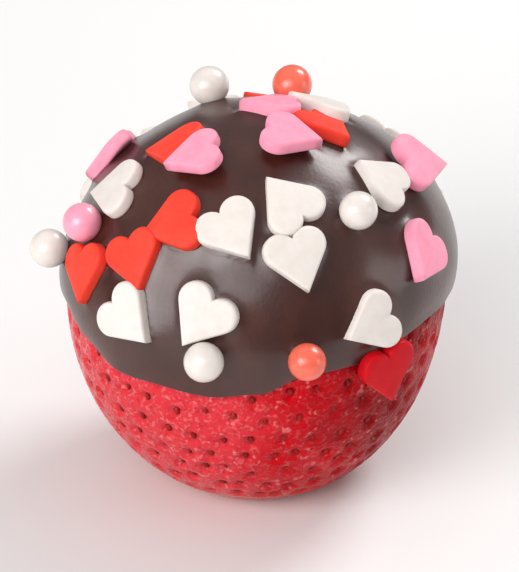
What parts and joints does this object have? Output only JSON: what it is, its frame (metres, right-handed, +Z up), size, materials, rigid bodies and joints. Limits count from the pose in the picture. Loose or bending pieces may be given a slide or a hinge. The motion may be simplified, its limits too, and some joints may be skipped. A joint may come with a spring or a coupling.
{
  "type": "chocolate coated strawberry",
  "caption": "Strawberry standing tip up on its flat cut end, its tip dipped in dark chocolate and strewn with sugar hearts and pearls.",
  "frame": {"origin": "middle of the flat face at the stem end, where the leafy cap was cut away and the berry stands", "axes": "+Z up through the berry's tip, -Y towards the viewer of the picture, +X to the viewer's right"},
  "size_m": [0.0431, 0.0438, 0.0419],
  "materials": {
    "strawberry": "moist red skin with sunken seeds",
    "chocolate_coating": "satin dark chocolate"
  },
  "bodies": {
    "root": {"strawberry": "strawberry", "chocolate_coating": "chocolate_coating"}
  },
  "joints": []
}
